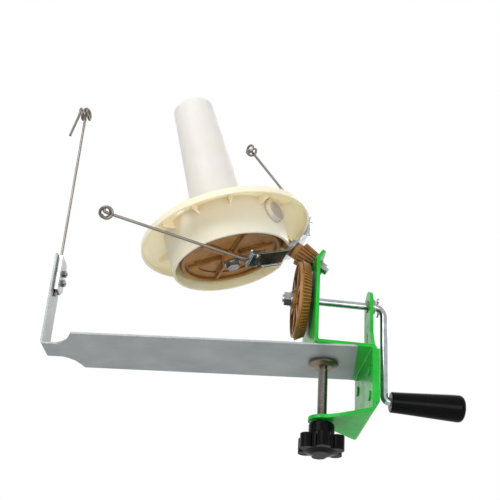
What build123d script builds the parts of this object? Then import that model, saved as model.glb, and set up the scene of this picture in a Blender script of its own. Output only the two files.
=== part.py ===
from build123d import *
import math
import os

# Yarn cone winder with a flyer, millimetres.
# Origin: on the clamp screw's axis, at the face that rests on the table top.
# +Z is up, +X runs along the crank shaft towards the handle.

# --- fits and stock ---
RUN_FIT = 0.05          # radial gap of a running fit
SEAT_GAP = 0.02         # gap between pieces that are fixed together
SHEET_T = 3.5           # painted frame sheet
ARM_T = 2.0             # guide arm sheet
WIRE_R = 1.5            # yarn guide wires

# --- frame ---
FRAME_HALF_W = 44.0
UPRIGHT_X = -16.0       # left face of the left upright
WEB_X = 40.7            # inner face of the right web
AXIS_H = 66.6           # crank shaft above the table face
SHOULDER_H = 94.0       # where the left upright starts to taper
TAB_HALF_W = 25.0
TAB_LEN = 18.0
POST_HALF_W = 14.5
POST_FLARE_H = 32.0     # above this the post is narrow
JAW_Z = -58.9           # top face of the lower jaw
JAW_END_R = 13.5
RIVET_R = 3.0
RIVET_Y = 29.0
RIVET_Z = (-16.0, -42.0)

# --- shafts ---
CRANK_R = 3.85
CRANK_ARM_X = 61.4
CRANK_DROP = 102.0
CRANK_BEND_R = 10.0
GRIP_BEND_R = 6.0
GRIP_X = 67.7            # left end of the grip
GRIP_LEN = 74.0
STUD_R = 4.0
AXLE_R = 4.0

# --- gear train ---
STUD_TILT = 32.7        # stud above the horizontal, degrees
BEVEL_APEX_X = 56.94    # where the stud's axis meets the crank's axis
WHEEL_TEETH = 72
PINION_TEETH = 20
WHEEL_PITCH_R = 41.0
WHEEL_FACE = 9.5
DRIVER_TEETH = 14
SPOOL_TEETH = 101
SPOOL_PITCH_R = 54.0
SPOOL_FACE = 8.0
SPOOL_TILT = 16.9       # spool axis from the vertical, degrees
SPOOL_POINT = (-101.5, 111.2)
TOOTH_FRACTION = 0.40   # tooth thickness over circular pitch at the pitch line
BUSH_FLANGE_T = 2.6
BUSH_WALL = 2.6
WHEEL_HUB_R = 10.0
WHEEL_HUB_TOP = 6.5        # above the wheel's face
WASHER_T = 1.5

# --- umbrella and cone, heights along the spool axis ---
RIM_R = 90.5
RIM_LOW = 21.0
DOME_TOP = 41.0
COLLAR_R = 62.6
COLLAR_LOW = -9.0
WALL = 2.4
HUB_R = 9.0
CONE_LOW = 42.5
CONE_TOP = 192.0
CONE_BASE_R = 29.8
CONE_TOP_R = 22.2

# --- flyer, distances along the stud's axis from the bevel apex ---
FLYER_PHASE = 216.6
BRACKET_T = 109.0
BRACKET_THICK = 2.0
BRACKET_W = 16.0
BRACKET_FLAT_R = 27.0
BRACKET_END = (80.0, 126.5)
EYELET = (168.5, 249.5)
EYE_R = 6.0

# --- guide arm ---
ARM_SWING = -7.5
ARM_HALF_W = 43.0
ARM_RIGHT = 31.7
ARM_CORNER_R = 4.0
ARM_REACH = 284.0
ARM_SHOULDER = ARM_REACH - 36.0
ARM_NECK_HALF = 16.0
ARM_RISE = 105.0
ARM_PIVOT_R = 5.0
ROD_TOP = 272.0

# --- clamp ---
SCREW_R = 4.8
THREAD_DEPTH = 0.55
PAD_R = 15.0
PAD_TOP = -2.2          # open clamp: the pad hangs clear of the table face
PAD_T = 4.0
KNOB_LOBE_R = 7.0
KNOB_LOBES_AT = 16.6
KNOB_TURN = 28.0
KNOB_TOP = -64.4
KNOB_LOW = -95.0


def unit_xz(degrees):
    angle = math.radians(degrees)
    return Vector(math.cos(angle), 0, math.sin(angle))


# Axis directions and the two points where gear axes meet.
STUD_DIR = unit_xz(180 - STUD_TILT)
STUD_SIDE = unit_xz(90 - STUD_TILT)
SPOOL_DIR = unit_xz(90 + SPOOL_TILT)
SPOOL_SIDE = unit_xz(SPOOL_TILT)
BEVEL_APEX = Vector(BEVEL_APEX_X, 0, AXIS_H)


def meet_of_axes():
    dx = SPOOL_POINT[0] - BEVEL_APEX.X
    dz = SPOOL_POINT[1] - BEVEL_APEX.Z
    det = STUD_DIR.X * SPOOL_DIR.Z - STUD_DIR.Z * SPOOL_DIR.X
    along = (dx * SPOOL_DIR.Z - dz * SPOOL_DIR.X) / det
    return BEVEL_APEX + STUD_DIR * along, along


SPOOL_APEX, SPOOL_APEX_T = meet_of_axes()


def pitch_angles(big_teeth, small_teeth, shaft_degrees):
    shaft = math.radians(shaft_degrees)
    big = math.atan2(math.sin(shaft), small_teeth / big_teeth + math.cos(shaft))
    return big, shaft - big


WHEEL_CONE, PINION_CONE = pitch_angles(WHEEL_TEETH, PINION_TEETH, STUD_TILT)
SPOOL_CONE, DRIVER_CONE = pitch_angles(
    SPOOL_TEETH, DRIVER_TEETH, 90 - STUD_TILT - SPOOL_TILT
)
WHEEL_SLANT = WHEEL_PITCH_R / math.sin(WHEEL_CONE)
SPOOL_SLANT = SPOOL_PITCH_R / math.sin(SPOOL_CONE)
WHEEL_DEPTH = WHEEL_SLANT * math.cos(WHEEL_CONE)
SPOOL_DEPTH = SPOOL_SLANT * math.cos(SPOOL_CONE)
WHEEL_X = BEVEL_APEX_X - WHEEL_DEPTH
PINION_LOW = (WHEEL_SLANT - WHEEL_FACE) * math.cos(PINION_CONE)
PINION_TOP = BRACKET_T - BRACKET_THICK / 2 - 0.5
DRIVER_LOW = SPOOL_APEX_T - SPOOL_SLANT * math.cos(DRIVER_CONE)
DRIVER_TOP = DRIVER_LOW + SPOOL_FACE
NECK_R = 6.0

# Work planes: origin on each axis, local z along it.
STUD_PLANE = Plane(origin=BEVEL_APEX, x_dir=-STUD_SIDE, z_dir=STUD_DIR)
WHEEL_PLANE = Plane(origin=BEVEL_APEX, x_dir=(0, 0, 1), z_dir=(-1, 0, 0))
DRIVER_PLANE = Plane(origin=SPOOL_APEX, x_dir=-STUD_SIDE, z_dir=-STUD_DIR)
GEAR_PLANE = Plane(origin=SPOOL_APEX, x_dir=SPOOL_SIDE, z_dir=-SPOOL_DIR)
SPOOL_ORIGIN = SPOOL_APEX - SPOOL_DIR * SPOOL_DEPTH
SPOOL_PLANE = Plane(origin=SPOOL_ORIGIN, x_dir=SPOOL_SIDE, z_dir=SPOOL_DIR)
PHASE = math.radians(FLYER_PHASE)
FLYER_DIR = STUD_SIDE * math.cos(PHASE) + Vector(0, 1, 0) * math.sin(PHASE)
FLYER_PLANE = Plane(origin=BEVEL_APEX, x_dir=FLYER_DIR, z_dir=STUD_DIR)
ARM_PLACE = Rot(0, 0, ARM_SWING)


def tube(outer, inner, low, high):
    body = Pos(0, 0, low) * extrude(Circle(outer), high - low)
    return body - Pos(0, 0, low - 1) * extrude(Circle(inner), high - low + 2)


def rod(radius, low, high):
    return Pos(0, 0, low) * extrude(Circle(radius), high - low)


def hexagon(across, low, high):
    return Pos(0, 0, low) * extrude(RegularPolygon(across / math.sqrt(3), 6), high - low)


def along_x(shape, x, y, z):
    return Pos(x, y, z) * Rot(0, 90, 0) * shape


def gear_outline(teeth, pitch_r, module, gap_first):
    points = []
    pitch = 2 * math.pi / teeth
    start = pitch / 2 if gap_first else 0.0
    root = pitch_r - 1.05 * module
    tip = pitch_r + 0.75 * module
    half_root = pitch * 0.34
    half_tip = pitch * TOOTH_FRACTION * 0.27
    for number in range(teeth):
        centre = start + number * pitch
        for radius, offset in (
            (root, -half_root), (tip, -half_tip), (tip, half_tip), (root, half_root)
        ):
            angle = centre + offset
            points.append((radius * math.cos(angle), radius * math.sin(angle)))
    return points


def bevel_teeth(teeth, cone, slant_high, slant_low, gap_first):
    """Toothed frustum about local z, its apex at the local origin."""
    high = slant_high * math.cos(cone)
    low = slant_low * math.cos(cone)
    pitch_r = slant_high * math.sin(cone)
    outline = gear_outline(teeth, pitch_r, 2 * pitch_r / teeth, gap_first)
    scale = low / high
    large = Wire.make_polygon([(x, y, high) for x, y in outline], close=True)
    small = Wire.make_polygon(
        [(x * scale, y * scale, low) for x, y in outline], close=True
    )
    return Solid.make_loft([small, large], ruled=True)


# --- frame ---
def clamp_frame():
    fold = UPRIGHT_X + SHEET_T
    tab_base = AXIS_H + math.tan(math.radians(STUD_TILT)) * (
        BEVEL_APEX_X - fold + SHEET_T / 2 - 9 * STUD_SIDE.X
    ) - 9 * STUD_SIDE.Z
    upright = Plane(origin=(UPRIGHT_X, 0, 0), x_dir=(0, 1, 0), z_dir=(1, 0, 0)) * (
        Polygon(
            (-FRAME_HALF_W, ARM_T), (FRAME_HALF_W, ARM_T),
            (FRAME_HALF_W, SHOULDER_H), (TAB_HALF_W, tab_base + 1.2),
            (-TAB_HALF_W, tab_base + 1.2), (-FRAME_HALF_W, SHOULDER_H), align=None
        )
    )
    upright = extrude(upright, SHEET_T)
    base = Pos((UPRIGHT_X + WEB_X + SHEET_T) / 2, 0, ARM_T + SHEET_T / 2) * Box(
        WEB_X + SHEET_T - UPRIGHT_X, 2 * FRAME_HALF_W, SHEET_T
    )
    web_low = JAW_Z - SHEET_T
    web = Pos(WEB_X + SHEET_T / 2, 0, (web_low + ARM_T + SHEET_T) / 2) * Box(
        SHEET_T, 2 * FRAME_HALF_W, ARM_T + SHEET_T - web_low
    )
    side = [(WEB_X + SHEET_T, -FRAME_HALF_W), (WEB_X, -FRAME_HALF_W)]
    side += [(34.0, -38.5), (24.0, -29.5), (14.0, -21.0), (5.0, -15.2), (0.0, -JAW_END_R)]
    edge = Polyline(*side)
    nose = ThreePointArc((0, -JAW_END_R), (-JAW_END_R, 0), (0, JAW_END_R))
    back = Polyline(*[(x, -y) for x, y in reversed(side)])
    close = Line((WEB_X + SHEET_T, FRAME_HALF_W), (WEB_X + SHEET_T, -FRAME_HALF_W))
    jaw = Pos(0, 0, web_low) * extrude(make_face([edge, nose, back, close]), SHEET_T)
    body = upright + base + web + jaw
    bends = body.edges().filter_by(Axis.Y)
    outer = bends.filter_by(lambda e: abs(e.center().Z - ARM_T) < 0.01
                            and e.center().X < UPRIGHT_X + 0.1)
    outer += bends.filter_by(lambda e: abs(e.center().Z - web_low) < 0.01
                             and e.center().X > WEB_X + 1)
    outer += bends.filter_by(lambda e: abs(e.center().Z - ARM_T - SHEET_T) < 0.01
                             and e.center().X > WEB_X + 1)
    body = fillet(outer, SHEET_T + 1.0)
    inner = body.edges().filter_by(Axis.Y).filter_by(
        lambda e: (abs(e.center().Z - ARM_T - SHEET_T) < 0.01 and e.center().X < fold + 0.1)
        or (abs(e.center().Z - JAW_Z) < 0.01 and abs(e.center().X - WEB_X) < 0.1)
        or (abs(e.center().Z - ARM_T) < 0.01 and abs(e.center().X - WEB_X) < 0.1)
    )
    body = fillet(inner, 1.5)
    tab_plane = Plane(
        origin=(fold - SHEET_T / 2, 0, tab_base), x_dir=STUD_SIDE, z_dir=STUD_DIR
    )
    tab = Pos((TAB_LEN - 1) / 2, 0, 0) * Box(TAB_LEN + 1, 2 * TAB_HALF_W, SHEET_T)
    corners = tab.edges().filter_by(Axis.Z).sort_by(Axis.X)[-2:]
    tab = fillet(corners, 7.0)
    body += tab_plane.location * tab
    body -= along_x(rod(CRANK_R + BUSH_WALL, -2, SHEET_T + 2), UPRIGHT_X, 0, AXIS_H)
    body -= STUD_PLANE.location * rod(STUD_R + SEAT_GAP, 30, 120)
    body -= rod(ARM_PIVOT_R + SEAT_GAP, -1, 12)
    body -= Pos(0, 0, web_low - 1) * rod(SCREW_R + RUN_FIT, 0, SHEET_T + 2)
    for y in (-RIVET_Y, RIVET_Y):
        for z in RIVET_Z:
            body -= along_x(rod(RIVET_R + SEAT_GAP, -2, 6), WEB_X, y, z)
    return body


def crank_post():
    low = JAW_Z + 6
    half = [(FRAME_HALF_W, low), (FRAME_HALF_W, 1.0), (33.0, 7.0), (25.0, 13.5)]
    half += [(19.0, 21.5), (POST_HALF_W, POST_FLARE_H), (POST_HALF_W, AXIS_H + 1)]
    right = Polyline(*half)
    left = Polyline(*[(-y, z) for y, z in reversed(half)])
    cap = ThreePointArc(
        (POST_HALF_W, AXIS_H + 1), (0, AXIS_H + 1 + POST_HALF_W), (-POST_HALF_W, AXIS_H + 1)
    )
    foot = Line((-FRAME_HALF_W, low), (FRAME_HALF_W, low))
    face = make_face([right, cap, left, foot])
    plane = Plane(origin=(WEB_X + SHEET_T, 0, 0), x_dir=(0, 1, 0), z_dir=(1, 0, 0))
    body = extrude(plane * face, SHEET_T)
    body -= along_x(rod(CRANK_R + BUSH_WALL, -2, 6), WEB_X + SHEET_T, 0, AXIS_H)
    slot = plane * (Pos(0, 30) * SlotOverall(12, 4, rotation=90))
    body -= extrude(slot, SHEET_T)
    for y in (-RIVET_Y, RIVET_Y):
        for z in RIVET_Z:
            body -= along_x(rod(RIVET_R + SEAT_GAP, -6, 6), WEB_X + SHEET_T, y, z)
    return body


def frame_rivets():
    body = []
    for y in (-RIVET_Y, RIVET_Y):
        for z in RIVET_Z:
            shank = rod(RIVET_R, -1.2, 2 * SHEET_T + 1.2)
            heads = rod(RIVET_R + 2, -1.4, -SEAT_GAP)
            heads += rod(RIVET_R + 2, 2 * SHEET_T + SEAT_GAP, 2 * SHEET_T + 1.4)
            body.append(along_x(shank + heads, WEB_X, y, z))
    return Compound(children=body)


def bushing(face_x, length, flange_side):
    sleeve = tube(CRANK_R + BUSH_WALL - SEAT_GAP, CRANK_R + RUN_FIT, -1.0, length + 1.0)
    low = -BUSH_FLANGE_T if flange_side < 0 else length + SEAT_GAP
    flange = tube(CRANK_R + BUSH_WALL + 2, CRANK_R + RUN_FIT, low, low + BUSH_FLANGE_T - SEAT_GAP)
    return along_x(sleeve + flange, face_x, 0, AXIS_H)


def arm_pivot():
    head = rod(ARM_PIVOT_R + 3.5, ARM_T + SHEET_T + SEAT_GAP, ARM_T + SHEET_T + 2.2)
    top = head.faces().sort_by(Axis.Z)[-1]
    head = fillet(top.edges(), 1.4)
    return rod(ARM_PIVOT_R, 0, ARM_T + SHEET_T + 1) + head


# --- crank ---
def crank_rod():
    grip_z = AXIS_H - CRANK_DROP
    start = (WHEEL_X - WHEEL_HUB_TOP - WASHER_T - 8.5, 0, AXIS_H)
    path = FilletPolyline(
        start, (CRANK_ARM_X, 0, AXIS_H),
        (CRANK_ARM_X, 0, grip_z), (GRIP_X + GRIP_LEN - 0.5, 0, grip_z),
        radius=(CRANK_BEND_R, GRIP_BEND_R)
    )
    section = Plane(origin=start, z_dir=(1, 0, 0)) * Circle(CRANK_R)
    body = sweep(section, path=path)
    x = WEB_X + 2 * SHEET_T + 7.6
    return body - Pos(x, 0, AXIS_H) * Cylinder(1.0 + SEAT_GAP, 30)


def crank_washer():
    x = WEB_X + 2 * SHEET_T + 2.9
    return along_x(tube(7.2, CRANK_R + RUN_FIT, 0, 1.4), x, 0, AXIS_H)


def split_pin():
    x = WEB_X + 2 * SHEET_T + 7.6
    pin = Pos(x, 0, AXIS_H - 1.5) * Cylinder(1.0, 15)
    eye = Pos(x - 0.9, 0, AXIS_H + 7.6) * Rot(0, 90, 0) * tube(2.9, 1.3, 0, 1.8)
    bent = Pos(x, 1.2, AXIS_H - 8.6) * Rot(70, 0, 0) * Cylinder(0.9, 4.5)
    return pin + eye + bent


def drive_gear():
    teeth = bevel_teeth(
        WHEEL_TEETH, WHEEL_CONE, WHEEL_SLANT, WHEEL_SLANT - WHEEL_FACE, True
    )
    body = teeth + Pos(0, 0, WHEEL_DEPTH) * extrude(Circle(WHEEL_PITCH_R - 1.5), 3.2)
    hollow = Cone(26.5, 30.5, 30, align=(Align.CENTER, Align.CENTER, Align.MIN))
    body -= Pos(0, 0, WHEEL_DEPTH - 31.5) * hollow
    body -= Pos(0, 0, WHEEL_DEPTH + 0.4) * extrude(Circle(37) - Circle(11), 5)
    for number in range(6):
        spoke = Pos(23.5, 0, WHEEL_DEPTH + 1.2) * Box(27, 4.0, 2.8)
        body += Rot(0, 0, 60 * number + 30) * spoke
    hub_low = BEVEL_APEX_X - UPRIGHT_X + BUSH_FLANGE_T + 0.3
    body += rod(WHEEL_HUB_R, hub_low, WHEEL_DEPTH + WHEEL_HUB_TOP)
    body -= rod(CRANK_R + SEAT_GAP, hub_low - 10, WHEEL_DEPTH + 30)
    return WHEEL_PLANE.location * body


def drive_gear_washer():
    low = WHEEL_DEPTH + WHEEL_HUB_TOP + SEAT_GAP
    return WHEEL_PLANE.location * tube(8.5, CRANK_R + SEAT_GAP, low, low + WASHER_T)


def drive_gear_nut():
    low = WHEEL_DEPTH + WHEEL_HUB_TOP + WASHER_T + 3 * SEAT_GAP
    nut = hexagon(13.5, low, low + 6.6) - rod(CRANK_R + SEAT_GAP, low - 1, low + 8)
    return WHEEL_PLANE.location * nut


def grip_profile():
    length = GRIP_LEN
    lower = CRANK_R + RUN_FIT
    line = [(lower, 0), (9.6, 0), (10.3, 0.8)]
    curve = Spline(
        (10.3, 0.8), (10.8, 14), (12.0, 36), (13.1, 56), (13.6, length - 7),
        tangents=[(0.02, 1), (0.03, 1)]
    )
    start = Polyline(*line)
    end = Spline((13.6, length - 7), (12.4, length - 2.2), (7.0, length - 0.1))
    rest = Polyline((7.0, length - 0.1), (7.0, length - 1.4), (lower, length - 1.4), (lower, 0))
    return make_face([start, curve, end, rest])


def handle_grip():
    body = revolve(Plane.XZ * grip_profile(), Axis.Z)
    return along_x(body, GRIP_X, 0, AXIS_H - CRANK_DROP)


def handle_cap():
    low = GRIP_X + GRIP_LEN - 1.3
    disc = rod(6.4, 0.3, 1.6) + Pos(0, 0, 1.5) * Cone(
        5.6, 3.4, 1.3, align=(Align.CENTER, Align.CENTER, Align.MIN)
    )
    disc -= rod(CRANK_R + SEAT_GAP, -3, 0.8 + SEAT_GAP)
    return along_x(disc, low, 0, AXIS_H - CRANK_DROP)


# --- stud, pinion and flyer ---
def tab_span():
    centre = (BEVEL_APEX_X - UPRIGHT_X - SHEET_T / 2 - 9 * STUD_SIDE.X) / -STUD_DIR.X
    return centre - SHEET_T / 2, centre + SHEET_T / 2


def gear_stud():
    low, high = tab_span()
    body = rod(STUD_R, low - 11, SPOOL_APEX_T - 60)
    body += rod(STUD_R + 2.4, high + SEAT_GAP, PINION_LOW - 0.4)
    return STUD_PLANE.location * body


def stud_washer():
    low = tab_span()[0]
    return STUD_PLANE.location * tube(8.0, STUD_R + SEAT_GAP, low - 1.6, low - SEAT_GAP)


def stud_nut():
    low = tab_span()[0] - 1.6 - SEAT_GAP
    nut = hexagon(12.5, low - 5.6, low) - rod(STUD_R + SEAT_GAP, low - 8, low + 2)
    return STUD_PLANE.location * nut


def pinion():
    lower = bevel_teeth(
        PINION_TEETH, PINION_CONE, WHEEL_SLANT + 7.0, WHEEL_SLANT - WHEEL_FACE, False
    )
    top = (WHEEL_SLANT + 7.0) * math.cos(PINION_CONE)
    body = STUD_PLANE.location * (lower + rod(NECK_R, top - 1, DRIVER_LOW + 1))
    body += STUD_PLANE.location * rod(NECK_R + 3, top - 1, PINION_TOP)
    upper = bevel_teeth(
        DRIVER_TEETH, DRIVER_CONE, SPOOL_SLANT, SPOOL_SLANT - SPOOL_FACE, False
    )
    body += DRIVER_PLANE.location * upper
    return body - STUD_PLANE.location * rod(STUD_R + RUN_FIT, 0, 200)


def bracket_outline(offset):
    flat, end = BRACKET_FLAT_R, BRACKET_END
    half = [(flat, BRACKET_T + offset), (end[0], end[1] + offset)]
    return [(-x, t) for x, t in reversed(half)] + half


def flyer_bracket():
    half = BRACKET_THICK / 2
    upper = bracket_outline(half)
    lower = bracket_outline(-half)
    section = Polygon(*(lower + list(reversed(upper))), align=None)
    upright = Plane(origin=(0, 0, 0), x_dir=(1, 0, 0), z_dir=(0, -1, 0))
    strip = extrude(upright * section, BRACKET_W / 2, both=True)
    centre = rod(13.0, BRACKET_T - half, BRACKET_T + half)
    body = strip + centre - rod(NECK_R + SEAT_GAP, 80, 140)
    for side in (1, -1):
        for hole in clamp_points():
            at = arm_frame(side) * Pos(*hole, -4)
            body -= at * rod(1.5 + SEAT_GAP, 0, 8)
    return FLYER_PLANE.location * body


def arm_angle():
    rise = BRACKET_END[1] - BRACKET_T
    return math.degrees(math.atan2(rise, BRACKET_END[0] - BRACKET_FLAT_R))


def arm_frame(side):
    """Local frame on a flyer arm's outer end: x outwards along the arm, z off its face."""
    turn = Rot(0, 0, 0) if side > 0 else Rot(0, 0, 180)
    return turn * Pos(BRACKET_END[0], 0, BRACKET_END[1]) * Rot(0, -arm_angle(), 0)


def clamp_points():
    return [(-7.0, 5.2), (-15.0, -5.2)]


def flyer_nut():
    low = BRACKET_T + BRACKET_THICK / 2 + SEAT_GAP
    nut = hexagon(17.0, low, low + 4.5) - rod(NECK_R + SEAT_GAP, low - 1, low + 6)
    return STUD_PLANE.location * nut


def wire_clamp(side):
    low = BRACKET_THICK / 2 + SEAT_GAP
    plate = Pos(-11.0, 0, low + 1.9) * Box(16, BRACKET_W - 1.0, 3.8)
    plate -= Pos(-11.0, 0, low + WIRE_R) * Rot(0, 90, 0) * Cylinder(WIRE_R + SEAT_GAP, 40)
    plate -= Pos(-11.0, 0, low) * Box(40, 2 * WIRE_R + 2 * SEAT_GAP, 2 * WIRE_R)
    for hole in clamp_points():
        plate -= Pos(*hole, 0) * rod(1.5 + SEAT_GAP, -2, 9)
    return FLYER_PLANE.location * arm_frame(side) * plate


def clamp_screws(side):
    body = []
    low = BRACKET_THICK / 2 + SEAT_GAP + 3.8
    for hole in clamp_points():
        screw = rod(1.5, -BRACKET_THICK / 2 - 2.6, low + 0.5)
        screw += rod(2.7, low + SEAT_GAP, low + 2.2)
        screw += hexagon(5.5, -BRACKET_THICK / 2 - 2.4, -BRACKET_THICK / 2 - SEAT_GAP)
        body.append(FLYER_PLANE.location * arm_frame(side) * Pos(*hole, 0) * screw)
    return Compound(children=body)


def eyelet(start, run, radial, radius, turns, pitch):
    """A helical eye whose first tangent continues the wire that arrives along run."""
    lead = math.atan2(pitch, 2 * math.pi * radius)
    across = radial.cross(run)
    axis = run * math.sin(lead) + across * math.cos(lead)
    plane = Plane(origin=start - radial * radius, x_dir=radial, z_dir=axis)
    path = plane.location * Helix(pitch, pitch * turns, radius)
    section = Plane(origin=start, z_dir=run) * Circle(WIRE_R)
    return sweep(section, path=path, is_frenet=True), path


def flyer_wire(side):
    """One unbroken wire: clamped tail, bend, long straight run and a two-turn eyelet."""
    tilt = math.radians(arm_angle())
    low = BRACKET_THICK / 2 + SEAT_GAP + WIRE_R + 0.01
    out = Vector(math.cos(tilt), 0, math.sin(tilt))
    normal = Vector(-math.sin(tilt), 0, math.cos(tilt))
    end = Vector(BRACKET_END[0], 0, BRACKET_END[1]) + normal * low
    tail = end - out * 24
    knee = end + out * 5
    eye = Vector(EYELET[0], 0, EYELET[1])
    run = (eye - knee).normalized()
    stop = eye
    straight = FilletPolyline(tail, knee, stop, radius=9)
    section = Plane(origin=tail, z_dir=out) * Circle(WIRE_R)
    body = sweep(section, path=straight)
    body += eyelet(stop, run, Vector(0, -1, 0), EYE_R, 2.1, 2 * WIRE_R + 0.5)[0]
    turn = 0 if side > 0 else 180
    return FLYER_PLANE.location * Rot(0, 0, turn) * body


# --- umbrella, spool and cone ---
def dome_profile():
    top = DOME_TOP
    low = RIM_LOW
    outer = [
        ThreePointArc((RIM_R - 0.4, low + 5.5), (87.6, 29.4), (82, 31.2)),
        ThreePointArc((82, 31.2), (58, 36.9), (30, top)),
    ]
    hub = Polyline((30, top), (AXLE_R, top), (AXLE_R, top - WALL), (30, top - WALL))
    inner = [
        ThreePointArc((30, top - WALL), (57.5, 34.5), (81.2, 28.9)),
        ThreePointArc((81.2, 28.9), (85.9, 27.6), (RIM_R - WALL, low + 4.5)),
    ]
    rim = Polyline(
        (RIM_R - WALL, low + 4.5), (RIM_R - WALL, low), (RIM_R, low),
        (RIM_R - 0.4, low + 5.5)
    )
    return make_face([*outer, hub, *inner, rim])


def upright_rib(*corners):
    plane = Plane(origin=(0, 0, 0), x_dir=(1, 0, 0), z_dir=(0, -1, 0))
    return extrude(plane * Polygon(*corners, align=None), 0.9, both=True)


def umbrella_housing():
    body = revolve(Plane.XZ * dome_profile(), Axis.Z)
    wall = [(COLLAR_R, COLLAR_LOW), (COLLAR_R + 1.6, 36.2), (COLLAR_R + 1.6 - WALL, 36.2)]
    wall += [(COLLAR_R - WALL, COLLAR_LOW)]
    body += revolve(Plane.XZ * make_face(Polyline(*wall, close=True)), Axis.Z)
    body += rod(HUB_R, 10.5, DOME_TOP)
    for number in (1, 2, 3, 4, 5, 7, 8, 9, 10, 11):
        body += Rot(0, 0, 30 * number) * upright_rib((63, 24), (79, 24), (79, 30.6), (63, 34.4))
    for number in range(6):
        body += Rot(0, 0, 60 * number + 30) * upright_rib(
            (8.5, 28), (61.5, 28), (61.5, 34.8), (30, 39.6), (8.5, 39.6)
        )
    to_stud = SPOOL_PLANE.location.inverse() * STUD_PLANE.location
    boss = to_stud * rod(7.2, DRIVER_TOP + 4.0, SPOOL_APEX_T - 58)
    web = Pos(34, 0, 28.0) * Box(34, 5.0, 18.0)
    body += boss + web
    for side in (1, -1):
        arch = Pos(0, 0, 20.0) * Rot(90, 0, 0) * Cylinder(13.0, 5.0)
        body += Rot(0, 0, side * 44) * Pos(66.0, 0, 0) * Rot(0, 0, 90) * arch
        body -= Rot(0, 0, side * 44) * Pos(64.5, 0, 0) * Rot(0, 0, 90) * (
            Pos(0, 0, 18.0) * Rot(90, 0, 0) * Cylinder(10.4, 7.5)
        )
    body -= Rot(0, 0, -134) * Pos(76.5, 0, 30) * extrude(SlotOverall(19, 11), 60, both=True)
    body -= rod(AXLE_R + RUN_FIT, -20, 60)
    body -= to_stud * rod(STUD_R + SEAT_GAP, 60, SPOOL_APEX_T - 59.9)
    body -= to_stud * rod(11.5, 60, DRIVER_TOP + 3.5)
    body -= to_stud * rod(60, 60, BRACKET_T + 4.6)
    return SPOOL_PLANE.location * body


def spool_gear():
    teeth = bevel_teeth(
        SPOOL_TEETH, SPOOL_CONE, SPOOL_SLANT, SPOOL_SLANT - SPOOL_FACE, True
    )
    body = teeth + rod(SPOOL_PITCH_R - 1.3, SPOOL_DEPTH, SPOOL_DEPTH + 2.6)
    body -= rod(49.5, SPOOL_DEPTH - 0.5, SPOOL_DEPTH + 20)
    body -= rod(45.0, SPOOL_DEPTH - 20, SPOOL_DEPTH - 3.2)
    body -= rod(41.5, SPOOL_DEPTH - 20, SPOOL_DEPTH + 20)
    for number in range(6):
        spoke = Pos(25.5, 0, SPOOL_DEPTH - 1.7) * Box(40, 7.0, 2.8)
        rib = Pos(26.0, 0, SPOOL_DEPTH + 1.2) * Box(40, 2.0, 4.0)
        body += Rot(0, 0, 60 * number + 15) * (spoke + rib)
    body += rod(41.0, SPOOL_DEPTH - 3.2, SPOOL_DEPTH - 1.6)
    body += rod(42.0, SPOOL_DEPTH - 3.2, SPOOL_DEPTH - 0.4) - rod(38.5, 0, 120)
    body += rod(10.0, SPOOL_DEPTH - 7.5, SPOOL_DEPTH + 8.5)
    body -= rod(AXLE_R + SEAT_GAP, 0, 200)
    return GEAR_PLANE.location * body


def spool_axle():
    return SPOOL_PLANE.location * rod(AXLE_R, -12.0, 92.0)


def axle_washer():
    return SPOOL_PLANE.location * tube(8.6, AXLE_R + SEAT_GAP, -10.2, -8.5 - SEAT_GAP)


def axle_nut():
    body = hexagon(12.5, -15.0, -10.2 - SEAT_GAP) - rod(AXLE_R + SEAT_GAP, -12.0, 0)
    return SPOOL_PLANE.location * body


def cone():
    side = Polyline((CONE_BASE_R, CONE_LOW), (CONE_TOP_R, CONE_TOP - 4))
    edge = ThreePointArc(
        (CONE_TOP_R, CONE_TOP - 4), (CONE_TOP_R - 1.3, CONE_TOP - 1.2), (CONE_TOP_R - 4.2, CONE_TOP)
    )
    lid = Polyline(
        (CONE_TOP_R - 4.2, CONE_TOP), (0, CONE_TOP), (0, CONE_TOP - WALL),
        (CONE_TOP_R - 2.8, CONE_TOP - WALL), (CONE_BASE_R - WALL, CONE_LOW),
        (CONE_BASE_R, CONE_LOW)
    )
    body = revolve(Plane.XZ * make_face([side, edge, lid]), Axis.Z)
    body += rod(7.5, CONE_LOW, CONE_LOW + 53)
    for number in range(4):
        rib = Pos(17.2, 0, CONE_LOW + 18.5) * Box(21, 1.6, 34)
        body += Rot(0, 0, 90 * number) * rib
    body -= rod(AXLE_R + SEAT_GAP, 30, 92.0 + SEAT_GAP)
    return SPOOL_PLANE.location * body


# --- guide arm and rod ---
def guide_arm():
    left = -ARM_SHOULDER
    half = [(ARM_RIGHT, ARM_HALF_W), (left, ARM_HALF_W), (left - 3, 35.0)]
    half += [(left - 7, 26.0), (left - 13, 19.5), (left - 19, ARM_NECK_HALF)]
    half += [(-ARM_REACH, ARM_NECK_HALF)]
    outline = half + [(x, -y) for x, y in reversed(half)]
    body = extrude(Polygon(*outline, align=None), ARM_T)
    corners = body.edges().filter_by(Axis.Z).sort_by(Axis.X)[-2:]
    body = fillet(corners, ARM_CORNER_R)
    body += Pos(-ARM_REACH + ARM_T / 2, 0, ARM_RISE / 2) * Box(
        ARM_T, 2 * ARM_NECK_HALF, ARM_RISE
    )
    bend = body.edges().filter_by(Axis.Y).filter_by(
        lambda e: abs(e.center().X + ARM_REACH) < 0.01 and abs(e.center().Z) < 0.01
    )
    body = fillet(bend, ARM_T + 0.8)
    top = body.edges().filter_by(Axis.X).filter_by(lambda e: e.center().Z > ARM_RISE - 1)
    body = fillet(top, 5.0)
    body -= rod(ARM_PIVOT_R + RUN_FIT, -1, 5)
    for y, z in rod_screw_points():
        body -= along_x(rod(1.8 + SEAT_GAP, -3, 5), -ARM_REACH, y, z)
    return ARM_PLACE * body


def rod_screw_points():
    return [(6.5, ARM_RISE - 15), (6.5, ARM_RISE - 26)]


def rod_x():
    return -ARM_REACH + ARM_T + 0.05 + WIRE_R


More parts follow.
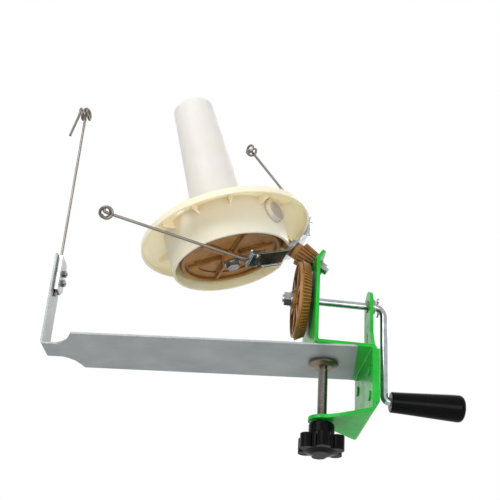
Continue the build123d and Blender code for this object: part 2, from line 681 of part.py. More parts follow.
def rod_clamp_plate():
    x = -ARM_REACH + ARM_T + SEAT_GAP
    face = Polygon(
        (-10, ARM_RISE - 41), (4, ARM_RISE - 41), (13, ARM_RISE - 34),
        (13, ARM_RISE - 1), (-10, ARM_RISE - 1), align=None
    )
    plane = Plane(origin=(x, 0, 0), x_dir=(0, 1, 0), z_dir=(1, 0, 0))
    body = extrude(plane * face, 4.6)
    body -= Pos(rod_x(), -4, ARM_RISE - 21) * Cylinder(WIRE_R + RUN_FIT, 60)
    body -= Pos(x, -4, ARM_RISE - 21) * Box(2 * WIRE_R, 2 * (WIRE_R + RUN_FIT), 60)
    for y, z in rod_screw_points():
        body -= along_x(rod(1.8 + SEAT_GAP, -1, 7), x, y, z)
    return ARM_PLACE * body


def rod_clamp_screws():
    body = []
    for y, z in rod_screw_points():
        screw = rod(1.8, -1.8, ARM_T + 8.6)
        screw += rod(3.4, -2.3, -SEAT_GAP)
        body.append(ARM_PLACE * along_x(screw, -ARM_REACH, y, z))
    return Compound(children=body)


def rod_clamp_nuts():
    body = []
    x = -ARM_REACH + ARM_T + 4.6 + 2 * SEAT_GAP
    for y, z in rod_screw_points():
        nut = hexagon(7.0, 0, 2.9) - rod(1.8 + SEAT_GAP, -1, 5)
        body.append(ARM_PLACE * along_x(nut, x, y, z))
    return Compound(children=body)


def guide_rod():
    """One unbroken wire: straight rod, two-turn pigtail and a downward tail."""
    foot = Vector(rod_x(), -4, ARM_RISE - 46)
    head = Vector(rod_x(), -4, ROD_TOP)
    up = Vector(0, 0, 1)
    body = sweep(Plane(origin=foot, z_dir=up) * Circle(WIRE_R), path=Line(foot, head))
    coil, path = eyelet(head, up, Vector(1, 0, 0), 5.2, 2.42, 2 * WIRE_R + 0.4)
    body += coil
    last = path @ 1
    along = path % 1
    tail = Plane(origin=last, z_dir=along) * Circle(WIRE_R)
    body += sweep(tail, path=Line(last, last + along * 27))
    return ARM_PLACE * body


# --- clamp screw ---
def clamp_screw():
    points = [(0, KNOB_LOW + 8), (SCREW_R - THREAD_DEPTH, KNOB_LOW + 8)]
    points += [(SCREW_R - THREAD_DEPTH, KNOB_TOP)]
    points += [(SCREW_R, KNOB_TOP + 0.5), (SCREW_R, PAD_TOP - PAD_T - 2.4)]
    neck = PAD_TOP - PAD_T - 0.4
    points += [(SCREW_R - 1.2, neck - 0.8)]
    points += [(SCREW_R - 1.2, PAD_TOP - 1.4), (0, PAD_TOP - 1.4)]
    face = make_face(Polyline(*points, close=True))
    return revolve(Plane.XZ * face, Axis.Z)


def clamp_pad():
    low = PAD_TOP - PAD_T
    points = [(SCREW_R - 1.2 + RUN_FIT, low), (9.5, low), (PAD_R, PAD_TOP - 1.6), (PAD_R, PAD_TOP)]
    points += [(0, PAD_TOP), (0, PAD_TOP - 1.3), (SCREW_R - 1.2 + RUN_FIT, PAD_TOP - 1.3)]
    return revolve(Plane.XZ * make_face(Polyline(*points, close=True)), Axis.Z)


def clamp_knob():
    shank = rod(12.6, KNOB_TOP - 16, KNOB_TOP)
    shank = fillet(shank.faces().sort_by(Axis.Z)[-1].edges(), 2.5)
    body = shank
    low = KNOB_LOW + 2.5
    high = KNOB_TOP - 14
    body += rod(17.0, low, high)
    for number in range(6):
        lobe = Pos(KNOB_LOBES_AT, 0, low) * extrude(Circle(KNOB_LOBE_R), high - low)
        body += Rot(0, 0, 60 * number + KNOB_TURN) * lobe
    body += Pos(0, 0, KNOB_LOW) * Cone(
        9.0, 16.0, 2.5 + 0.01, align=(Align.CENTER, Align.CENTER, Align.MIN)
    )
    return body - rod(SCREW_R - THREAD_DEPTH + SEAT_GAP, KNOB_LOW + 8 - SEAT_GAP, 0)


PARTS = {
    "clamp_frame": clamp_frame,
    "crank_post": crank_post,
    "frame_rivets": frame_rivets,
    "front_bushing": lambda: bushing(UPRIGHT_X, SHEET_T, -1),
    "rear_bushing": lambda: bushing(WEB_X + SHEET_T, SHEET_T, 1),
    "arm_pivot": arm_pivot,
    "crank_rod": crank_rod,
    "crank_washer": crank_washer,
    "split_pin": split_pin,
    "drive_gear": drive_gear,
    "drive_gear_washer": drive_gear_washer,
    "drive_gear_nut": drive_gear_nut,
    "handle_grip": handle_grip,
    "handle_cap": handle_cap,
    "gear_stud": gear_stud,
    "stud_washer": stud_washer,
    "stud_nut": stud_nut,
    "pinion": pinion,
    "flyer_bracket": flyer_bracket,
    "flyer_nut": flyer_nut,
    "flyer_wire_near": lambda: flyer_wire(1),
    "flyer_wire_far": lambda: flyer_wire(-1),
    "wire_clamp_near": lambda: wire_clamp(1),
    "wire_clamp_far": lambda: wire_clamp(-1),
    "clamp_screws_near": lambda: clamp_screws(1),
    "clamp_screws_far": lambda: clamp_screws(-1),
    "umbrella_housing": umbrella_housing,
    "spool_gear": spool_gear,
    "spool_axle": spool_axle,
    "axle_washer": axle_washer,
    "axle_nut": axle_nut,
    "cone": cone,
    "guide_arm": guide_arm,
    "rod_clamp_plate": rod_clamp_plate,
    "rod_clamp_screws": rod_clamp_screws,
    "rod_clamp_nuts": rod_clamp_nuts,
    "guide_rod": guide_rod,
    "clamp_screw": clamp_screw,
    "clamp_pad": clamp_pad,
    "clamp_knob": clamp_knob,
}

os.makedirs("parts", exist_ok=True)
for name, make in PARTS.items():
    export_step(make(), f"parts/{name}.step")
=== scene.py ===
import bpy
import math
from mathutils import Matrix, Vector


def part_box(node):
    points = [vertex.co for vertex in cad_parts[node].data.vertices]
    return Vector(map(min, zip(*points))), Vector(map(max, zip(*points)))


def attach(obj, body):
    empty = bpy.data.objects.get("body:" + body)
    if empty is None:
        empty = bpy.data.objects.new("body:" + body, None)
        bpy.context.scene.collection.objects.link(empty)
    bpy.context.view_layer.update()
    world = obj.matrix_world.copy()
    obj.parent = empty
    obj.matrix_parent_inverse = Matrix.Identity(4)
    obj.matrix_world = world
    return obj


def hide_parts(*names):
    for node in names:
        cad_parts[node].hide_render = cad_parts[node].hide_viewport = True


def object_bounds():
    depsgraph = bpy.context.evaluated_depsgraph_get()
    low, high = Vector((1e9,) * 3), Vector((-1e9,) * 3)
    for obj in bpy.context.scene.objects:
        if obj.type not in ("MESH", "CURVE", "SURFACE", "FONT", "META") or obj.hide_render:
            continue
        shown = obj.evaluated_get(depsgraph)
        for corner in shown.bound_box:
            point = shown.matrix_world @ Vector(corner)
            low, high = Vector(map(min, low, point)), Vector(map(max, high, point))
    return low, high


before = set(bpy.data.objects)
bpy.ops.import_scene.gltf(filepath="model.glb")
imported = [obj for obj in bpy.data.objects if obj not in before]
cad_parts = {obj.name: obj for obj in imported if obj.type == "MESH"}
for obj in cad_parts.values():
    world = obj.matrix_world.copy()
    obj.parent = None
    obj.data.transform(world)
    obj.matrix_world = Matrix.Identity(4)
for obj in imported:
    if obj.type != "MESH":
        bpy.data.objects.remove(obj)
cad_low, cad_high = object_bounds()

# Camera of the photograph, metres and pixels.
FRAME_PX = 500
FOCAL_PX = 1004.4
SENSOR_MM = 36.0
CAMERA_PLACE = Vector((-0.14582, -0.92222, -0.39234))
CAMERA_RIGHT = Vector((0.99278, -0.10336, 0.06089))
CAMERA_UP = Vector((-0.10318, -0.47682, 0.87293))
CAMERA_FORWARD = Vector((0.06119, 0.87291, 0.48405))

FLOOR_DROP = 0.37        # under the object and the camera, so out of the photo's view
FLOOR_SIZE = 60.0
FLOOR_GLOW = 0.36        # lifts the floor towards the white background; its shadow stays

# Clamp screw's thread. The root and the neck are shares of the crest's radius.
SCREW_PITCH = 0.0015
THREAD_ROOT = 0.87
NECK_SHARE = 0.75
NECK_LENGTH = 0.0042
HALF_CREST = 0.12        # half of the flat crest's width, in pitches
FLANK = 0.3              # a flank's width, in pitches
THREAD_AROUND = 40
THREAD_ROWS = 9          # rows of points in one pitch

# The flyer's own frame: origin where the stud's axis meets the crank's axis.
STUD_TILT = math.radians(32.7)
FLYER_PHASE = math.radians(216.6)
BEVEL_APEX = Vector((0.05694, 0, 0.0666))
STUD_DIR = Vector((-math.cos(STUD_TILT), 0, math.sin(STUD_TILT)))
STUD_SIDE = Vector((math.sin(STUD_TILT), 0, math.cos(STUD_TILT)))
FLYER_DIR = STUD_SIDE * math.cos(FLYER_PHASE) + Vector((0, math.sin(FLYER_PHASE), 0))
FLYER_PLACE = Matrix.Translation(BEVEL_APEX) @ Matrix((
    FLYER_DIR, STUD_DIR.cross(FLYER_DIR), STUD_DIR
)).transposed().to_4x4()

# Round wire and its pigtail coils.
WIRE_RADIUS = 0.0015
EYE_STEPS = 32           # points in one turn
EYE_SIDEWAYS = [         # half turns and metres to the side of the wire
    (0.0, 0.0), (1.0, 0.0042), (1.5, 0.0040), (3.0, -0.0034), (4.5, -0.0056)
]

# The bracket with its lips and wires, in the flyer's own frame.
BRACKET_BEND = Vector((0.027, 0, 0.109))
BRACKET_END = Vector((0.080, 0, 0.1265))
BRACKET_HALF_W = 0.008
LIP_FOLD = 0.0016
LIP_DEPTH = 0.0030
LIP_SHEET = 0.0010
LIP_TRIM = 0.0004        # how far the lip's end faces are drawn in
LIP_SHARES = (0.10, 0.12, 0.56, 0.58)    # places along the arm, the outer two drawn in
LIP_STEPS = 6            # steps in the fold's quarter turn
WIRE_LIFT = 0.00253      # wire's centre above the bracket's middle plane
WIRE_TAIL = 0.024        # length of wire that lies on the bracket
WIRE_KNEE = 0.005        # from the bracket's end to the wire's bend, and the bend's reach
WIRE_EYE = Vector((0.1685, 0, 0.2495))
FAR_EYE_SHIFT = Vector((-0.0038, 0, 0))
EYE_RADIUS = 0.0053
EYE_TURNS = 1.9
EYE_LEAD = 0.002         # from the wire's last straight point to the coil's centre

# The guide rod at rest, in the model's frame.
ROD_PLACE = (-0.27857, 0.03264)
ROD_HEAD = 0.2926
ROD_EYE_RADIUS = 0.0062
ROD_EYE_TURNS = 2.25
ROD_LEAD = 0.003         # from the rod's last straight point to the coil's centre
ROD_DROP = 0.005         # from the coil's end down to the tail's bend
ROD_BEND = 0.004         # reach of the tail's bend
ROD_TAIL = Vector((-0.0055, -0.0060, -0.0345))
ARM_SWING = math.radians(-7.5)    # the arm's turn about z at rest, as in the part's source


# --- material helpers ---
COLOUR_A, COLOUR_B, COLOUR_OUT = 6, 7, 2    # colour sockets of a Mix node


def srgb(red, green, blue):
    """An 8-bit screen colour as the linear colour that a shader takes."""
    def channel(value):
        value /= 255
        return value / 12.92 if value <= 0.04045 else ((value + 0.055) / 1.055) ** 2.4
    return (channel(red), channel(green), channel(blue), 1.0)


class Finish:
    """A material under construction: a Principled shader and the nodes that feed it."""

    def __init__(self, name):
        self.material = bpy.data.materials.new(name)
        self.material.use_nodes = True
        self.tree = self.material.node_tree
        self.shader = self.tree.nodes["Principled BSDF"]
        self.place = self.add("ShaderNodeTexCoord").outputs["Object"]

    def add(self, kind, **settings):
        node = self.tree.nodes.new(kind)
        for key, value in settings.items():
            setattr(node, key, value)
        return node

    def link(self, source, target):
        self.tree.links.new(source, target)

    def constant(self, **sockets):
        """Fixed values on the shader's own sockets, with _ for a space in their names."""
        for name, value in sockets.items():
            self.shader.inputs[name.replace("_", " ")].default_value = value

    def stretched(self, scale):
        """The place, scaled along each axis: below 1 draws the pattern out."""
        node = self.add("ShaderNodeMapping")
        node.inputs["Scale"].default_value = scale
        self.link(self.place, node.inputs["Vector"])
        return node.outputs["Vector"]

    def noise(self, size, detail=3.0, rough=0.55, place=None, distortion=0.0):
        """Cloudy noise with features about size metres across."""
        node = self.add("ShaderNodeTexNoise")
        node.inputs["Scale"].default_value = 1 / size
        node.inputs["Detail"].default_value = detail
        node.inputs["Roughness"].default_value = rough
        node.inputs["Distortion"].default_value = distortion
        self.link(place or self.place, node.inputs["Vector"])
        return node.outputs["Fac"]

    def ramp(self, source, stops):
        """Colours at places from 0 to 1, blended by source."""
        node = self.add("ShaderNodeValToRGB")
        elements = node.color_ramp.elements
        while len(elements) < len(stops):
            elements.new(0.5)
        for element, (position, colour) in zip(elements, stops):
            element.position = position
            element.color = colour
        self.link(source, node.inputs["Fac"])
        return node.outputs["Color"]

    def spread(self, source, low, high, start=0.3, end=0.7):
        """Low where source is start or less, high where it is end or more."""
        node = self.add("ShaderNodeMapRange")
        node.inputs["From Min"].default_value = start
        node.inputs["From Max"].default_value = end
        node.inputs["To Min"].default_value = low
        node.inputs["To Max"].default_value = high
        self.link(source, node.inputs["Value"])
        return node.outputs["Result"]

    def colour(self, source):
        self.link(source, self.shader.inputs["Base Color"])

    def painted_corner_shade(self, source, reach, depth):
        """Colour darkened in corners within reach metres, down to depth: painted shade, from
        ambient occlusion.
        """
        # Painted shade: ambient occlusion darkens the colour where faces crowd together.
        corner = self.add("ShaderNodeAmbientOcclusion", samples=8)
        corner.inputs["Distance"].default_value = reach
        shade = self.spread(corner.outputs["AO"], depth, 1.0, start=0.35, end=0.95)
        mix = self.add("ShaderNodeMix", data_type="RGBA", blend_type="MULTIPLY")
        mix.inputs["Factor"].default_value = 1.0
        self.link(source, mix.inputs[COLOUR_A])
        self.link(shade, mix.inputs[COLOUR_B])
        self.colour(mix.outputs[COLOUR_OUT])

    def mixed(self, share, first, second):
        """The colour first, taken over by second where share is 1."""
        mix = self.add("ShaderNodeMix", data_type="RGBA")
        self.link(share, mix.inputs["Factor"])
        self.link(first, mix.inputs[COLOUR_A])
        self.link(second, mix.inputs[COLOUR_B])
        return mix.outputs[COLOUR_OUT]

    def sharp_edge_mask(self, reach):
        """1 within reach metres of a sharp edge, 0 on open faces."""
        soft = self.add("ShaderNodeBevel", samples=8)
        soft.inputs["Radius"].default_value = reach
        true = self.add("ShaderNodeNewGeometry")
        match = self.add("ShaderNodeVectorMath", operation="DOT_PRODUCT")
        self.link(soft.outputs["Normal"], match.inputs[0])
        self.link(true.outputs["Normal"], match.inputs[1])
        return self.spread(match.outputs["Value"], 1.0, 0.0, start=0.90, end=0.995)

    def roughness(self, source):
        self.link(source, self.shader.inputs["Roughness"])

    def bump(self, source, height, strength=1.0, edge=0.0):
        """Bump of a real height in metres, on edges rounded by edge metres."""
        node = self.add("ShaderNodeBump")
        node.inputs["Distance"].default_value = height
        node.inputs["Strength"].default_value = strength
        self.link(source, node.inputs["Height"])
        if edge:
            round_edge = self.add("ShaderNodeBevel", samples=4)
            round_edge.inputs["Radius"].default_value = edge
            self.link(round_edge.outputs["Normal"], node.inputs["Normal"])
        self.link(node.outputs["Normal"], self.shader.inputs["Normal"])


# --- materials ---
def green_paint():
    """Gloss paint over sheet steel: orange peel, cloudy in colour and gloss."""
    finish = Finish("green_paint")
    cloud = finish.noise(0.030)
    finish.colour(finish.ramp(cloud, [
        (0.25, srgb(8, 152, 34)), (0.5, srgb(14, 172, 44)), (0.75, srgb(30, 190, 58)),
    ]))
    finish.roughness(finish.spread(finish.noise(0.012), 0.26, 0.40))
    finish.constant(Coat_Weight=0.15, Coat_Roughness=0.1, Specular_IOR_Level=0.25)
    finish.bump(finish.noise(0.0022, detail=2.0), 0.00005, 0.5, edge=0.0007)
    return finish.material


def brown_plastic():
    """Moulded brown plastic with flow marks, a waxy shine and painted shade darkening its corners
    and grooves.
    """
    finish = Finish("brown_plastic")
    flow = finish.noise(0.018, detail=5.0, distortion=1.2)
    # Painted shade: ambient occlusion darkens the colour within 3.5 mm, down to 0.30 of itself.
    finish.painted_corner_shade(finish.ramp(flow, [
        (0.25, srgb(150, 100, 44)), (0.5, srgb(174, 122, 60)), (0.78, srgb(194, 144, 80)),
    ]), 0.0035, 0.30)
    finish.roughness(finish.spread(finish.noise(0.006), 0.32, 0.50))
    finish.constant(Specular_IOR_Level=0.4)
    finish.bump(finish.noise(0.0012, detail=4.0), 0.00003, 0.5, edge=0.0003)
    return finish.material


def cream_plastic(name, shades, rough):
    """Waxy translucent plastic, a little uneven in colour and gloss."""
    finish = Finish(name)
    cloud = finish.noise(0.045, detail=4.0, distortion=0.6)
    finish.colour(finish.ramp(cloud, list(zip((0.25, 0.5, 0.75), shades))))
    finish.roughness(finish.spread(finish.noise(0.010), rough - 0.06, rough + 0.08))
    finish.constant(
        Subsurface_Weight=0.7, Subsurface_Scale=0.012, Subsurface_Radius=(1.0, 0.85, 0.55),
        Specular_IOR_Level=0.45
    )
    finish.bump(finish.noise(0.0015, detail=3.0), 0.00003, 0.45, edge=0.0006)
    return finish.material


def plated(name, dark, light, rough_low, rough_high):
    """Plated steel, cloudy in colour and gloss, with a faintly uneven surface."""
    finish = Finish(name)
    cloud = finish.noise(0.009, detail=4.0)
    finish.colour(finish.ramp(cloud, [(0.3, dark), (0.7, light)]))
    finish.roughness(finish.spread(finish.noise(0.004, detail=5.0), rough_low, rough_high))
    finish.constant(Metallic=1.0)
    finish.bump(finish.noise(0.0030, detail=3.0), 0.000012, 0.4, edge=0.0003)
    return finish.material


def drawn_wire():
    """Drawn plated wire: broad faint clouds, no spots as small as the wire is thick."""
    finish = Finish("nickel_wire")
    finish.colour(finish.ramp(finish.noise(0.045, detail=2.0), [
        (0.3, srgb(122, 115, 109)), (0.7, srgb(148, 141, 135)),
    ]))
    finish.roughness(finish.spread(finish.noise(0.030, detail=1.0), 0.26, 0.36))
    finish.constant(Metallic=1.0)
    finish.bump(finish.noise(0.012, detail=1.0), 0.00001, 0.3)
    return finish.material


def bracket_plate():
    """Plated sheet: mirror bright, with a painted dark reflection on one arm's face, held off its
    sharp edges.
    """
    finish = Finish("bracket_plate")
    cloud = finish.noise(0.010, detail=4.0)
    clean = finish.ramp(cloud, [(0.3, srgb(186, 190, 194)), (0.7, srgb(220, 223, 226))])
    # Painted reflection: dark teal stands in for the dark surroundings mirrored by one arm's
    # face.
    dark_reflection = finish.ramp(cloud, [(0.3, srgb(46, 68, 66)), (0.7, srgb(92, 112, 110))])
    across = finish.add("ShaderNodeSeparateXYZ")
    finish.link(finish.place, across.inputs[0])
    painted_reflection_share = finish.spread(across.outputs["Y"], 1.0, 0.0, start=-0.022, end=0.0)
    face = finish.mixed(painted_reflection_share, clean, dark_reflection)
    # The painted dark reflection stops within 1 mm of sharp edges, which keep the clean plate
    # colour.
    finish.colour(finish.mixed(finish.sharp_edge_mask(0.0010), face, clean))
    finish.roughness(finish.spread(finish.noise(0.004, detail=5.0), 0.10, 0.22))
    finish.constant(Metallic=0.8)
    finish.bump(finish.noise(0.0030, detail=3.0), 0.000012, 0.4, edge=0.0003)
    return finish.material


def satin_steel():
    """Bare rolled sheet: fine grain drawn out along x, grey and half matt."""
    finish = Finish("satin_steel")
    grain = finish.noise(0.0012, detail=4.0, place=finish.stretched((0.06, 1.0, 1.0)))
    cloud = finish.noise(0.050, detail=3.0)
    finish.colour(finish.ramp(cloud, [
        (0.25, srgb(150, 154, 154)), (0.55, srgb(164, 168, 168)), (0.8, srgb(178, 181, 180)),
    ]))
    finish.roughness(finish.spread(grain, 0.42, 0.60))
    finish.constant(Metallic=0.55, Anisotropic=0.4)
    finish.bump(grain, 0.00002, 0.5, edge=0.0003)
    return finish.material


def black_plastic():
    """Hard black plastic with a soft gloss and faint paler patches."""
    finish = Finish("black_plastic")
    dust = finish.noise(0.014, detail=6.0, rough=0.65)
    finish.colour(finish.ramp(dust, [
        (0.3, srgb(6, 6, 7)), (0.6, srgb(9, 9, 10)), (0.88, srgb(18, 18, 20)),
    ]))
    finish.roughness(finish.spread(finish.noise(0.009, detail=4.0), 0.13, 0.22))
    finish.constant(Specular_IOR_Level=0.07)
    finish.bump(finish.noise(0.0025, detail=2.0), 0.00002, 0.3, edge=0.0008)
    return finish.material


GREEN = green_paint()
BROWN = brown_plastic()
CREAM = cream_plastic(
    "cream_plastic", [srgb(254, 230, 190), srgb(254, 235, 202), srgb(254, 240, 214)], 0.38
)
CONE_CREAM = cream_plastic(
    "cone_plastic", [srgb(247, 230, 212), srgb(250, 234, 218), srgb(252, 238, 224)], 0.48
)
CHROME = plated("chrome", srgb(150, 154, 158), srgb(186, 190, 193), 0.05, 0.14)
NICKEL = drawn_wire()
ZINC = plated("zinc_fastener", srgb(132, 134, 134), srgb(176, 178, 177), 0.16, 0.30)
BUSH = plated("bush_steel", srgb(120, 108, 92), srgb(158, 146, 128), 0.28, 0.42)
PLATE = bracket_plate()
SATIN = satin_steel()
BLACK = black_plastic()

NODE_FINISH = {
    GREEN: ["clamp_frame", "crank_post", "frame_rivets"],
    BROWN: ["drive_gear", "pinion", "spool_gear"],
    CREAM: ["umbrella_housing"],
    CONE_CREAM: ["cone"],
    PLATE: ["flyer_bracket"],
    CHROME: ["crank_rod", "gear_stud", "spool_axle"],
    ZINC: [
        "crank_washer", "split_pin", "drive_gear_washer", "drive_gear_nut", "stud_washer",
        "stud_nut", "flyer_nut", "wire_clamp_near", "wire_clamp_far", "clamp_screws_near",
        "clamp_screws_far", "axle_washer", "axle_nut", "rod_clamp_plate", "rod_clamp_screws",
        "rod_clamp_nuts", "arm_pivot",
    ],
    BUSH: ["front_bushing", "rear_bushing", "clamp_pad"],
    SATIN: ["guide_arm"],
    BLACK: ["handle_grip", "handle_cap", "clamp_knob"],
}


def dress_nodes():
    for material, names in NODE_FINISH.items():
        for name in names:
            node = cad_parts[name]
            node.data.materials.clear()
            node.data.materials.append(material)


# --- pieces made of rings ---
def ring_piece(name, rings, material):
    """A closed smooth piece from rings, lists of as many points each, from end to end."""
    around = len(rings[0])
    points = [point for ring in rings for point in ring]
    faces = []
    for row in range(len(rings) - 1):
        for step in range(around):
            after = (step + 1) % around
            faces.append((
                row * around + step, row * around + after,
                (row + 1) * around + after, (row + 1) * around + step,
            ))
    faces.append(tuple(reversed(range(around))))
    faces.append(tuple(range(len(points) - around, len(points))))
    mesh = bpy.data.meshes.new(name)
    mesh.from_pydata(points, [], faces)
    mesh.polygons.foreach_set("use_smooth", [True] * len(faces))
    mesh.update()
    mesh.materials.append(material)
    piece = bpy.data.objects.new(name, mesh)
    bpy.context.collection.objects.link(piece)
    return piece


def thread_radius(turn, root, crest):
    """Radius at a place in the thread's cycle: flank, flat crest, flank, flat root."""
    turn %= 1.0
    drop = min(max((abs(turn - 0.5) - HALF_CREST) / FLANK, 0.0), 1.0)
    return crest - (crest - root) * drop


def threaded_rod(name, ends, crest, thread, neck):
    """A rod on the z axis, threaded from thread[0] to thread[1] and of radius neck beyond."""
    start, stop = ends
    rows = int((stop - start) / SCREW_PITCH * THREAD_ROWS)
    rings = []
    for row in range(rows + 1):
        along = start + (stop - start) * row / rows
        ring = []
        for step in range(THREAD_AROUND):
            share = step / THREAD_AROUND
            angle = math.tau * share
            radius = neck
            if thread[0] <= along <= thread[1]:
                radius = thread_radius(along / SCREW_PITCH - share, crest * THREAD_ROOT, crest)
            ring.append(Vector((radius * math.cos(angle), radius * math.sin(angle), along)))
        rings.append(ring)
    return ring_piece(name, rings, NICKEL)


def make_clamp_thread():
    low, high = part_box("clamp_screw")
    crest = (high.x - low.x) / 2
    knob_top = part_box("clamp_knob")[1].z
    piece = threaded_rod(
        "clamp_screw_thread", (low.z, high.z), crest,
        (knob_top, high.z - NECK_LENGTH), crest * NECK_SHARE
    )
    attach(piece, "screw")
    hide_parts("clamp_screw")


# --- wires ---
def wire_piece(name, points, body, stands_for):
    """A round wire through points, closed by a flat cap at each end."""
    curve = bpy.data.curves.new(name, "CURVE")
    curve.dimensions = "3D"
    curve.bevel_depth = WIRE_RADIUS
    curve.bevel_resolution = 5
    curve.use_fill_caps = True
    spline = curve.splines.new("POLY")
    spline.points.add(len(points) - 1)
    for knot, point in zip(spline.points, points):
        knot.co = (*point, 1.0)
    spline.use_smooth = True
    piece = bpy.data.objects.new(name, curve)
    bpy.context.collection.objects.link(piece)
    curve.materials.append(NICKEL)
    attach(piece, body)
    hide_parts(stands_for)


def eased(knots, value):
    """A smooth curve through knots, pairs of a place and a height."""
    for (x0, y0), (x1, y1) in zip(knots, knots[1:]):
        if value <= x1:
            share = (value - x0) / (x1 - x0)
            return y0 + (y1 - y0) * share * share * (3 - 2 * share)
    return knots[-1][1]


def eyelet(centre, run, side, radius, turns):
    """A pigtail coil that leaves the wire at its centre, with loops on both sides of it."""
    back = side.cross(run)
    points = []
    steps = int(turns * EYE_STEPS)
    for step in range(1, steps + 1):
        half_turns = 2 * turns * step / steps
        angle = math.pi * half_turns
        reach = radius * math.sin(min(angle, math.pi / 2))
        points.append(
            centre + (run * math.cos(angle) + back * math.sin(angle)) * reach
            + side * eased(EYE_SIDEWAYS, half_turns)
        )
    return points


def rounded(before, corner, after, reach, steps=8):
    """A smooth turn at corner that starts and ends reach away from it."""
    first = corner + (before - corner).normalized() * reach
    last = corner + (after - corner).normalized() * reach
    shares = [step / steps for step in range(steps + 1)]
    return [
        first * (1 - share) ** 2 + corner * (2 * share * (1 - share)) + last * share ** 2
        for share in shares
    ]


def make_flyer_wires():
    out = (BRACKET_END - BRACKET_BEND).normalized()
    end = BRACKET_END + Vector((-out.z, 0, out.x)) * WIRE_LIFT
    tail = end - out * WIRE_TAIL
    knee = end + out * WIRE_KNEE
    # The near coil's axis is as close to the photo's line of sight as its wire allows. The far
    # coil is worked out in the same way and then turned half a turn.
    view = FLYER_PLACE.to_3x3().transposed() @ CAMERA_FORWARD
    for name, turn, shift in (("near", 0.0, Vector()), ("far", math.pi, FAR_EYE_SHIFT)):
        eye = WIRE_EYE + shift
        run = (eye - knee).normalized()
        side = (view - run * view.dot(run)).normalized()
        points = [tail, *rounded(tail, knee, eye, WIRE_KNEE), eye - run * EYE_LEAD]
        points += eyelet(eye, run, side, EYE_RADIUS, EYE_TURNS)
        place = FLYER_PLACE @ Matrix.Rotation(turn, 4, "Z")
        wire_piece(
            f"flyer_wire_{name}_bent", [place @ point for point in points],
            "flyer", f"flyer_wire_{name}"
        )


def make_guide_rod():
    foot = Vector((*ROD_PLACE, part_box("guide_rod")[0].z))
    head = Vector((*ROD_PLACE, ROD_HEAD))
    up = Vector((0, 0, 1))
    side = Matrix.Rotation(ARM_SWING, 3, "Z") @ Vector((1, 0, 0))
    points = [foot, head - up * ROD_LEAD]
    points += eyelet(head, up, side, ROD_EYE_RADIUS, ROD_EYE_TURNS)
    last = points[-1]
    corner = last - up * ROD_DROP
    end = corner + ROD_TAIL
    points += [*rounded(last, corner, end, ROD_BEND), end]
    wire_piece("guide_rod_bent", points, "rod", "guide_rod")


# --- bracket lips ---
def make_bracket_lips():
    """A narrow folded lip along one edge of each flyer arm."""
    out = (BRACKET_END - BRACKET_BEND).normalized()
    up = Vector((-out.z, 0, out.x))
    profile = []
    for radius, order in ((LIP_FOLD, 1), (LIP_FOLD - LIP_SHEET, -1)):
        arc = []
        for step in range(LIP_STEPS + 1):
            angle = math.pi / 2 * step / LIP_STEPS
            arc.append((math.sin(angle) * radius, math.cos(angle) * radius - LIP_FOLD))
        arc.append((radius, -LIP_FOLD - LIP_DEPTH))
        profile += arc[::order]
    for name, turn in (("near", 0.0), ("far", math.pi)):
        place = FLYER_PLACE @ Matrix.Rotation(turn, 4, "Z")
        rings = []
        for share in LIP_SHARES:
            trim = 0.0 if share in LIP_SHARES[1:-1] else LIP_TRIM
            base = BRACKET_BEND.lerp(BRACKET_END, share)
            ring = []
            for across, height in profile:
                side = Vector((0, -BRACKET_HALF_W - across + trim + LIP_SHEET / 2, 0))
                ring.append(place @ (base + side + up * (height + LIP_SHEET)))
            rings.append(ring)
        piece = ring_piece(f"bracket_lip_{name}", rings, CHROME)
        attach(piece, "flyer")


# --- studio ---
WORLD_TINT = (0.97, 0.985, 1.0, 1.0)
WORLD_LIGHT = 0.6
WHITE = (1.0, 1.0, 1.0, 1.0)
LAMPS = {                # place, aim, side in metres and watts
    "key": ((-0.9, -1.1, 0.9), (-0.1, 0, 0.1), 1.0, 11),
    "under": ((0.3, -1.2, -0.35), (-0.1, 0, 0.13), 0.9, 8),
    "rim": ((0.8, 0.9, 1.0), (-0.1, 0, 0.1), 0.8, 6),
}


def make_camera():
    data = bpy.data.cameras.new("photo_camera")
    data.sensor_width = SENSOR_MM
    data.lens = FOCAL_PX * SENSOR_MM / FRAME_PX
    data.clip_start = 0.01
    data.clip_end = 50
    camera = bpy.data.objects.new("photo_camera", data)
    axes = Matrix((CAMERA_RIGHT, CAMERA_UP, -CAMERA_FORWARD)).transposed()
    camera.matrix_world = Matrix.Translation(CAMERA_PLACE) @ axes.to_4x4()
    bpy.context.collection.objects.link(camera)
    bpy.context.scene.camera = camera


def soft_box(name, place, target, size, watts):
    data = bpy.data.lights.new(name, "AREA")
    data.size = size
    data.energy = watts
    lamp = bpy.data.objects.new(name, data)
    lamp.location = place
    lamp.rotation_euler = (Vector(target) - Vector(place)).to_track_quat("-Z", "Y").to_euler()
    bpy.context.collection.objects.link(lamp)


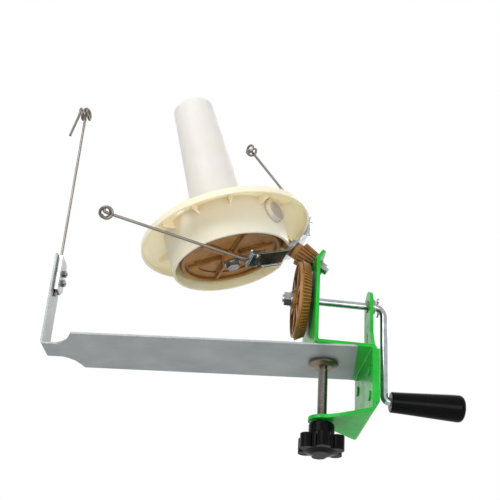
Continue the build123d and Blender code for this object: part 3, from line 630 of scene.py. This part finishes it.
def make_world():
    """Even soft light on matt faces; the camera, reflections and clear pieces see plain white."""
    world = bpy.data.worlds.new("studio")
    world.use_nodes = True
    bpy.context.scene.world = world
    tree = world.node_tree
    tree.nodes.clear()
    output = tree.nodes.new("ShaderNodeOutputWorld")
    rays = tree.nodes.new("ShaderNodeLightPath")
    light = tree.nodes.new("ShaderNodeBackground")
    light.inputs["Color"].default_value = WORLD_TINT
    light.inputs["Strength"].default_value = WORLD_LIGHT
    seen = tree.nodes.new("ShaderNodeBackground")
    seen.inputs["Color"].default_value = WHITE
    shown = rays.outputs["Is Camera Ray"]
    for kind in ("Is Glossy Ray", "Is Transmission Ray"):
        either = tree.nodes.new("ShaderNodeMath")
        either.operation = "MAXIMUM"
        tree.links.new(shown, either.inputs[0])
        tree.links.new(rays.outputs[kind], either.inputs[1])
        shown = either.outputs[0]
    mix = tree.nodes.new("ShaderNodeMixShader")
    tree.links.new(shown, mix.inputs["Fac"])
    tree.links.new(light.outputs[0], mix.inputs[1])
    tree.links.new(seen.outputs[0], mix.inputs[2])
    tree.links.new(mix.outputs[0], output.inputs["Surface"])


def make_floor():
    mesh = bpy.data.meshes.new("floor")
    half = FLOOR_SIZE / 2
    level = cad_low.z - FLOOR_DROP
    corners = [(-half, -half), (half, -half), (half, half), (-half, half)]
    mesh.from_pydata([(x, y, level) for x, y in corners], [], [(0, 1, 2, 3)])
    floor = bpy.data.objects.new("floor", mesh)
    bpy.context.collection.objects.link(floor)
    finish = Finish("pale_floor")
    cloud = finish.noise(0.8)
    finish.colour(finish.ramp(cloud, [(0.3, srgb(236, 237, 238)), (0.7, srgb(242, 243, 243))]))
    finish.constant(Roughness=0.85)
    rays = finish.add("ShaderNodeLightPath")
    glow = finish.spread(rays.outputs["Is Camera Ray"], 0.0, FLOOR_GLOW, start=0.0, end=1.0)
    finish.constant(Emission_Color=WHITE)
    finish.link(glow, finish.shader.inputs["Emission Strength"])
    mesh.materials.append(finish.material)


dress_nodes()
make_clamp_thread()
make_flyer_wires()
make_guide_rod()
make_bracket_lips()
make_camera()
make_world()
make_floor()
for lamp_name, settings in LAMPS.items():
    soft_box(lamp_name, *settings)
bpy.context.scene.view_settings.view_transform = "Standard"
